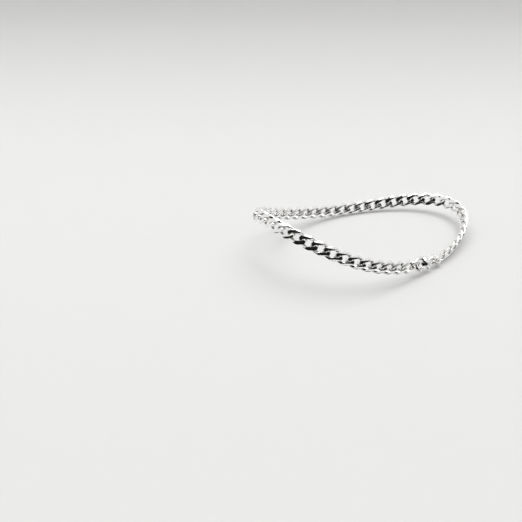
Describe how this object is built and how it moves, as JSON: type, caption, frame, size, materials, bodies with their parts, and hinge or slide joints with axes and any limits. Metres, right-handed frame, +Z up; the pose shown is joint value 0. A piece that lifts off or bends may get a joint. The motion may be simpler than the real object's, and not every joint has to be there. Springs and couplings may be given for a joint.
{
  "type": "curb chain anklet",
  "caption": "Flat curb chain anklet in the shape it has when worn, closed with a lobster clasp between two jump rings.",
  "frame": {"origin": "middle of the ankle that the chain goes around, level with the chain's middle", "axes": "+X to the side with the clasp, -Y to the front of the ankle, +Y to the heel, +Z up"},
  "size_m": [0.062, 0.0956, 0.025],
  "materials": {
    "chain_silver": "polished silver",
    "ring_silver": "polished silver",
    "clasp_silver": "polished silver"
  },
  "bodies": {
    "anklet": {"link_01": "chain_silver", "link_02": "chain_silver", "link_03": "chain_silver", "link_04": "chain_silver", "link_05": "chain_silver", "link_06": "chain_silver", "link_07": "chain_silver", "link_08": "chain_silver", "link_09": "chain_silver", "link_10": "chain_silver", "link_11": "chain_silver", "link_12": "chain_silver", "link_13": "chain_silver", "link_14": "chain_silver", "link_15": "chain_silver", "link_16": "chain_silver", "link_17": "chain_silver", "link_18": "chain_silver", "link_19": "chain_silver", "link_20": "chain_silver", "link_21": "chain_silver", "link_22": "chain_silver", "link_23": "chain_silver", "link_24": "chain_silver", "link_25": "chain_silver", "link_26": "chain_silver", "link_27": "chain_silver", "link_28": "chain_silver", "link_29": "chain_silver", "link_30": "chain_silver", "link_31": "chain_silver", "link_32": "chain_silver", "link_33": "chain_silver", "link_34": "chain_silver", "link_35": "chain_silver", "link_36": "chain_silver", "link_37": "chain_silver", "link_38": "chain_silver", "link_39": "chain_silver", "link_40": "chain_silver", "link_41": "chain_silver", "link_42": "chain_silver", "link_43": "chain_silver", "link_44": "chain_silver", "link_45": "chain_silver", "link_46": "chain_silver", "link_47": "chain_silver", "link_48": "chain_silver", "link_49": "chain_silver", "link_50": "chain_silver", "hook_ring": "ring_silver", "tail_ring": "ring_silver", "clasp_body": "clasp_silver", "clasp_pin": "clasp_silver"},
    "lever": {"clasp_lever": "clasp_silver"}
  },
  "joints": [
    {"name": "lever_hinge", "type": "hinge", "parent": "anklet", "child": "lever", "pos_m": [0.02931, 0.00611, -0.00675], "axis": [-0.8319, -0.1654, -0.5297], "range_deg": [0, 20], "stiffness_Nm_per_rad": 0.002, "springref_deg": -20.05}
  ]
}
